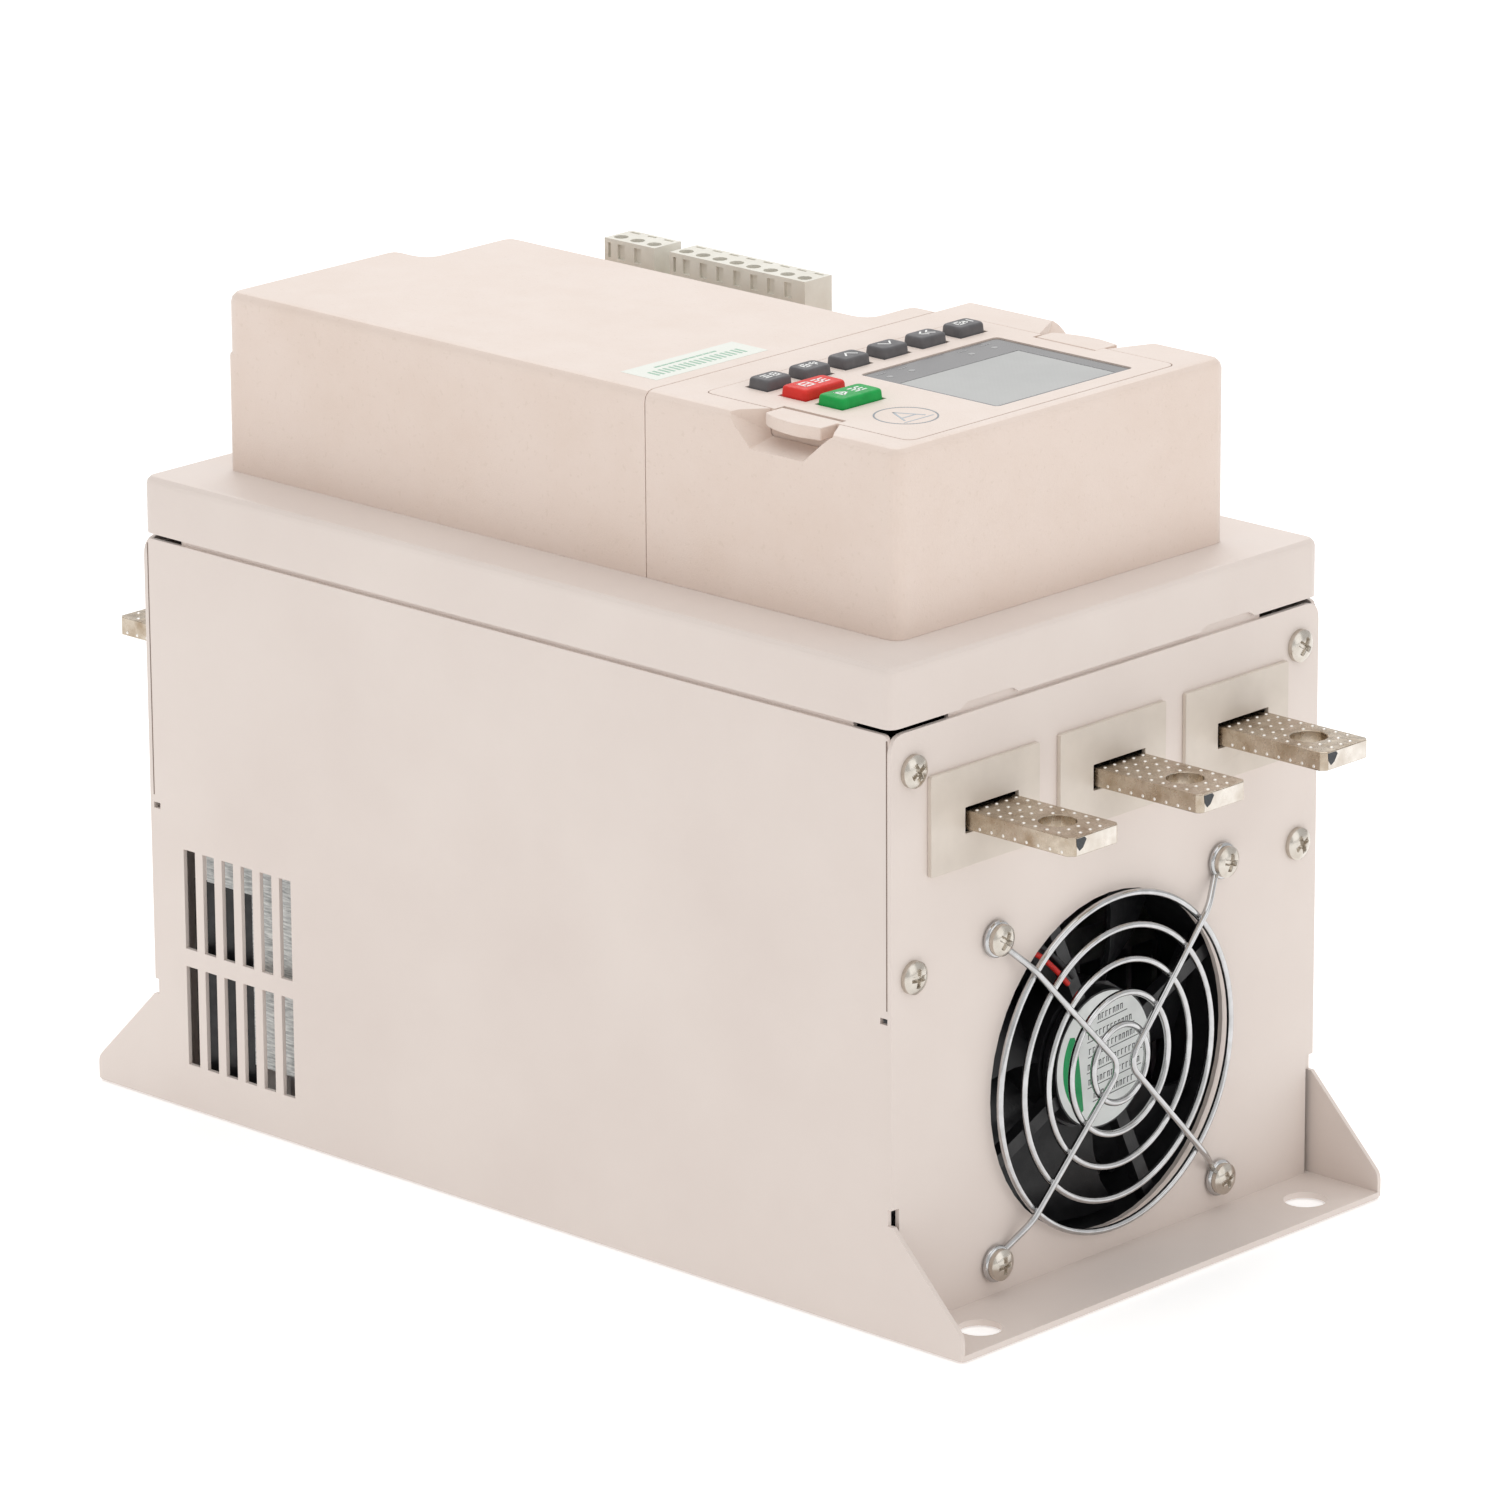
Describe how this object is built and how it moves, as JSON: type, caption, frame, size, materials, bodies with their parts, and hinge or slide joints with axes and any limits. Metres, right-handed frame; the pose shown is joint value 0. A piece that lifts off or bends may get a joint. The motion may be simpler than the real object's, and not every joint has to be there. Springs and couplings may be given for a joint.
{
  "type": "variable frequency drive",
  "caption": "Motor power controller: sheet-metal case with fan and guard, flat busbar terminals at both ends, mounting flanges, and a plastic control housing with keypad and display.",
  "frame": {"origin": "middle of the back plate's underside, on the mounting surface", "axes": "+X towards the fan end, +Y away from the long side seen in the picture, +Z out of the mounting surface towards the keypad"},
  "size_m": [0.4194, 0.198, 0.2752],
  "materials": {
    "cream_paint": "satin powder coat",
    "bright_steel": "bright plated",
    "black_plastic": "moulded matte",
    "plated_copper": "nickel plated copper, knurled",
    "insulating_sheet": "smooth sheet",
    "bare_aluminium": "extruded",
    "terminal_grey": "moulded matte",
    "cream_plastic": "fine moulded grain",
    "board_green": "lacquered",
    "window_grey": "gloss",
    "screen_grey": "gloss",
    "dark_rubber": "matte",
    "red_rubber": "matte",
    "green_rubber": "matte"
  },
  "bodies": {
    "power_unit": {"base_chassis": "cream_paint", "fan_end_panel": "cream_paint", "rear_end_panel": "cream_paint", "top_lid": "cream_paint", "fan_panel_screw_1": "bright_steel", "fan_panel_screw_2": "bright_steel", "fan_panel_screw_3": "bright_steel", "fan_panel_screw_4": "bright_steel", "rear_panel_screw_1": "bright_steel", "rear_panel_screw_2": "bright_steel", "rear_panel_screw_3": "bright_steel", "rear_panel_screw_4": "bright_steel", "fan_guard_screw_1": "bright_steel", "fan_guard_screw_2": "bright_steel", "fan_guard_screw_3": "bright_steel", "fan_guard_screw_4": "bright_steel", "fan_guard": "bright_steel", "fan_frame": "black_plastic", "thyristor_module_1": "black_plastic", "thyristor_module_2": "black_plastic", "thyristor_module_3": "black_plastic", "current_transformer_1": "black_plastic", "current_transformer_2": "black_plastic", "current_transformer_3": "black_plastic", "contactor_body": "black_plastic", "front_busbar_1": "plated_copper", "front_busbar_2": "plated_copper", "front_busbar_3": "plated_copper", "rear_busbar_1": "plated_copper", "rear_busbar_2": "plated_copper", "rear_busbar_3": "plated_copper", "front_insulating_plate_1": "insulating_sheet", "front_insulating_plate_2": "insulating_sheet", "front_insulating_plate_3": "insulating_sheet", "rear_insulating_plate_1": "insulating_sheet", "rear_insulating_plate_2": "insulating_sheet", "rear_insulating_plate_3": "insulating_sheet", "heat_sink": "bare_aluminium", "rear_housing": "cream_plastic", "front_housing": "cream_plastic", "control_board": "board_green"},
    "fan_rotor": {"fan_rotor": "black_plastic"},
    "keypad": {"keypad_case": "cream_plastic", "display_window": "window_grey", "lcd_panel": "screen_grey"},
    "latch_near": {"latch_near": "cream_plastic"},
    "latch_far": {"latch_far": "cream_plastic"},
    "terminal_plug_3way": {"terminal_plug_3way": "terminal_grey"},
    "terminal_plug_8way": {"terminal_plug_8way": "terminal_grey"},
    "contactor_carrier": {"contactor_carrier": "terminal_grey"},
    "key_exit": {"key_exit": "dark_rubber"},
    "key_back": {"key_back": "dark_rubber"},
    "key_down": {"key_down": "dark_rubber"},
    "key_up": {"key_up": "dark_rubber"},
    "key_set": {"key_set": "dark_rubber"},
    "key_menu": {"key_menu": "dark_rubber"},
    "key_stop": {"key_stop": "red_rubber"},
    "key_start": {"key_start": "green_rubber"}
  },
  "joints": [
    {"name": "fan_spin", "type": "hinge", "parent": "power_unit", "child": "fan_rotor", "pos_m": [0.147, 0, 0.0648], "axis": [1, 0, 0], "continuous": true},
    {"name": "keypad_lift", "type": "slide", "parent": "power_unit", "child": "keypad", "axis": [0, 0, 1], "range_m": [0, 0.04]},
    {"name": "key_exit_press", "type": "slide", "parent": "keypad", "child": "key_exit", "axis": [0, 0, -1], "range_m": [0, 0.0009], "stiffness_N_per_m": 600, "springref_m": -0.0006},
    {"name": "key_back_press", "type": "slide", "parent": "keypad", "child": "key_back", "axis": [0, 0, -1], "range_m": [0, 0.0009], "stiffness_N_per_m": 600, "springref_m": -0.0006},
    {"name": "key_down_press", "type": "slide", "parent": "keypad", "child": "key_down", "axis": [0, 0, -1], "range_m": [0, 0.0009], "stiffness_N_per_m": 600, "springref_m": -0.0006},
    {"name": "key_up_press", "type": "slide", "parent": "keypad", "child": "key_up", "axis": [0, 0, -1], "range_m": [0, 0.0009], "stiffness_N_per_m": 600, "springref_m": -0.0006},
    {"name": "key_set_press", "type": "slide", "parent": "keypad", "child": "key_set", "axis": [0, 0, -1], "range_m": [0, 0.0009], "stiffness_N_per_m": 600, "springref_m": -0.0006},
    {"name": "key_menu_press", "type": "slide", "parent": "keypad", "child": "key_menu", "axis": [0, 0, -1], "range_m": [0, 0.0009], "stiffness_N_per_m": 600, "springref_m": -0.0006},
    {"name": "key_stop_press", "type": "slide", "parent": "keypad", "child": "key_stop", "axis": [0, 0, -1], "range_m": [0, 0.0009], "stiffness_N_per_m": 600, "springref_m": -0.0006},
    {"name": "key_start_press", "type": "slide", "parent": "keypad", "child": "key_start", "axis": [0, 0, -1], "range_m": [0, 0.0009], "stiffness_N_per_m": 600, "springref_m": -0.0006},
    {"name": "latch_near_press", "type": "slide", "parent": "keypad", "child": "latch_near", "axis": [0, 1, 0], "range_m": [0, 0.0009], "stiffness_N_per_m": 900, "springref_m": -0.0005},
    {"name": "latch_far_press", "type": "slide", "parent": "keypad", "child": "latch_far", "axis": [0, -1, 0], "range_m": [0, 0.0009], "stiffness_N_per_m": 900, "springref_m": -0.0005},
    {"name": "terminal_plug_3way_pull", "type": "slide", "parent": "power_unit", "child": "terminal_plug_3way", "axis": [0, 0, 1], "range_m": [0, 0.02]},
    {"name": "terminal_plug_8way_pull", "type": "slide", "parent": "power_unit", "child": "terminal_plug_8way", "axis": [0, 0, 1], "range_m": [0, 0.02]},
    {"name": "contact_close", "type": "slide", "parent": "power_unit", "child": "contactor_carrier", "axis": [0, 0, -1], "range_m": [0, 0.003], "stiffness_N_per_m": 300, "springref_m": -0.004}
  ]
}
